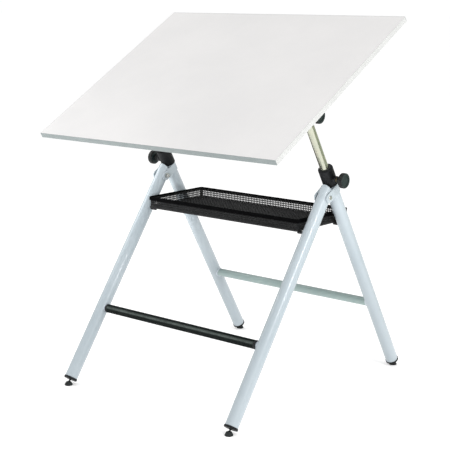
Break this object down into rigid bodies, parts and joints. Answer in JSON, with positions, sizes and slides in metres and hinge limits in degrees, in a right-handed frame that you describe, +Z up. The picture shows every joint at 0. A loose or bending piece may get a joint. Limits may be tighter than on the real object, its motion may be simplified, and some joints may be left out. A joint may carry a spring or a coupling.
{
  "type": "drafting table",
  "caption": "Folding drafting table: tilting white board on sliding posts over a tubular A-frame trestle with footrest and mesh tray.",
  "frame": {"origin": "on the floor, midway between the left and right legs and midway between the front and rear feet", "axes": "+Z up, +X to the seated user's right, +Y away from the user towards the rear legs, so the board's low edge is on the -Y side"},
  "size_m": [0.976, 0.916, 1.2057],
  "materials": {
    "leg_paint": "semi-gloss pale blue-grey powder coat",
    "crossbar_paint": "semi-gloss green-grey paint",
    "zinc_posts": "yellow-passivated zinc plating",
    "black_plastic": "fine-grained black moulding",
    "black_rubber": "matt black rubber",
    "bright_steel": "zinc-plated steel",
    "black_steel": "black-oxidised steel",
    "bar_steel": "semi-gloss pale blue-grey powder coat",
    "brass": "turned brass",
    "nylon": "natural nylon",
    "melamine_board": "white melamine-faced chipboard",
    "edging": "satin light grey plastic edging",
    "under_steel": "semi-gloss grey powder coat",
    "tray_black": "satin black enamel"
  },
  "bodies": {
    "rear_frame": {"rear_leg_left": "leg_paint", "rear_leg_right": "leg_paint", "rear_crossbar": "crossbar_paint", "hinge_bracket_left": "leg_paint", "hinge_bracket_right": "leg_paint", "post_collar_left": "black_plastic", "post_collar_right": "black_plastic", "collar_inserts": "brass", "fold_bolts": "bright_steel", "fold_nuts": "bright_steel", "rear_foot_cap_left": "black_plastic", "rear_foot_cap_right": "black_plastic", "rear_tray_pegs": "bar_steel"},
    "front_frame": {"front_leg_left": "leg_paint", "front_leg_right": "leg_paint", "front_leg_plug_left": "black_rubber", "front_leg_plug_right": "black_rubber", "footrest_tube": "bar_steel", "footrest_sleeve": "black_rubber", "footrest_collar_left": "black_plastic", "footrest_collar_right": "black_plastic", "front_foot_cap_left": "black_plastic", "front_foot_cap_right": "black_plastic", "fold_bushes": "nylon", "front_tray_pegs": "bar_steel"},
    "posts": {"post_left": "zinc_posts", "post_right": "zinc_posts", "post_guide_left": "nylon", "post_guide_right": "nylon", "post_head_left": "black_plastic", "post_head_right": "black_plastic"},
    "board": {"board_panel": "melamine_board", "edge_band_front": "edging", "edge_band_rear": "edging", "edge_band_left": "edging", "edge_band_right": "edging", "board_rail_left": "under_steel", "board_rail_right": "under_steel", "board_screws": "bright_steel", "tilt_bracket_left": "under_steel", "tilt_bracket_right": "under_steel", "tilt_bolts": "bright_steel", "tilt_washers": "bright_steel"},
    "tray": {"tray_rim": "tray_black", "tray_basket": "tray_black", "tray_base_frame": "tray_black"},
    "collar_knob_left": {"collar_knob_left": "black_plastic", "clamp_screw_left": "bright_steel"},
    "collar_knob_right": {"collar_knob_right": "black_plastic", "clamp_screw_right": "bright_steel"},
    "tilt_knob_left": {"tilt_knob_left": "black_plastic"},
    "tilt_knob_right": {"tilt_knob_right": "black_plastic"},
    "front_foot_screw_left": {"front_foot_screw_left": "black_steel"},
    "front_foot_pad_left": {"front_foot_pad_left": "black_rubber"},
    "front_foot_screw_right": {"front_foot_screw_right": "black_steel"},
    "front_foot_pad_right": {"front_foot_pad_right": "black_rubber"},
    "rear_foot_screw_left": {"rear_foot_screw_left": "black_steel"},
    "rear_foot_pad_left": {"rear_foot_pad_left": "black_rubber"},
    "rear_foot_screw_right": {"rear_foot_screw_right": "black_steel"},
    "rear_foot_pad_right": {"rear_foot_pad_right": "black_rubber"}
  },
  "joints": [
    {"name": "fold", "type": "hinge", "parent": "rear_frame", "child": "front_frame", "pos_m": [0, 0.01127, 0.65119], "axis": [1, 0, 0], "range_deg": [0, 65]},
    {"name": "post_height", "type": "slide", "parent": "rear_frame", "child": "posts", "axis": [0, -0.5075, 0.8616], "range_m": [-0.11, 0.13], "stiffness_N_per_m": 80000},
    {"name": "board_tilt", "type": "hinge", "parent": "posts", "child": "board", "pos_m": [0, -0.09045, 0.91652], "axis": [1, 0, 0], "range_deg": [-30.5, 54.5]},
    {"name": "tray_lift", "type": "slide", "parent": "rear_frame", "child": "tray", "axis": [0, 0, 1], "range_m": [0, 0.04]},
    {"name": "collar_knob_left_turn", "type": "hinge", "parent": "rear_frame", "child": "collar_knob_left", "pos_m": [-0.405, 0.03339, 0.70628], "axis": [-1, 0, 0], "range_deg": [0, 360]},
    {"name": "collar_knob_right_turn", "type": "hinge", "parent": "rear_frame", "child": "collar_knob_right", "pos_m": [0.405, 0.03339, 0.70628], "axis": [1, 0, 0], "range_deg": [0, 360]},
    {"name": "tilt_knob_left_turn", "type": "hinge", "parent": "board", "child": "tilt_knob_left", "pos_m": [-0.396, -0.09045, 0.91652], "axis": [-1, 0, 0], "range_deg": [0, 360]},
    {"name": "tilt_knob_right_turn", "type": "hinge", "parent": "board", "child": "tilt_knob_right", "pos_m": [0.396, -0.09045, 0.91652], "axis": [1, 0, 0], "range_deg": [0, 360]},
    {"name": "front_foot_left_level", "type": "slide", "parent": "front_frame", "child": "front_foot_screw_left", "axis": [0, -0.5783, -0.8158], "range_m": [0, 0.012]},
    {"name": "front_foot_left_swivel", "type": "hinge", "parent": "front_foot_screw_left", "child": "front_foot_pad_left", "pos_m": [-0.348, -0.445, 0.0075], "axis": [1, 0, 0], "range_deg": [-35, 3]},
    {"name": "front_foot_right_level", "type": "slide", "parent": "front_frame", "child": "front_foot_screw_right", "axis": [0, -0.5783, -0.8158], "range_m": [0, 0.012]},
    {"name": "front_foot_right_swivel", "type": "hinge", "parent": "front_foot_screw_right", "child": "front_foot_pad_right", "pos_m": [0.348, -0.445, 0.0075], "axis": [1, 0, 0], "range_deg": [-35, 3]},
    {"name": "rear_foot_left_level", "type": "slide", "parent": "rear_frame", "child": "rear_foot_screw_left", "axis": [0, 0.5075, -0.8616], "range_m": [0, 0.012]},
    {"name": "rear_foot_left_swivel", "type": "hinge", "parent": "rear_foot_screw_left", "child": "rear_foot_pad_left", "pos_m": [-0.348, 0.445, 0.0075], "axis": [1, 0, 0], "range_deg": [-7, 30]},
    {"name": "rear_foot_right_level", "type": "slide", "parent": "rear_frame", "child": "rear_foot_screw_right", "axis": [0, 0.5075, -0.8616], "range_m": [0, 0.012]},
    {"name": "rear_foot_right_swivel", "type": "hinge", "parent": "rear_foot_screw_right", "child": "rear_foot_pad_right", "pos_m": [0.348, 0.445, 0.0075], "axis": [1, 0, 0], "range_deg": [-7, 30]}
  ]
}
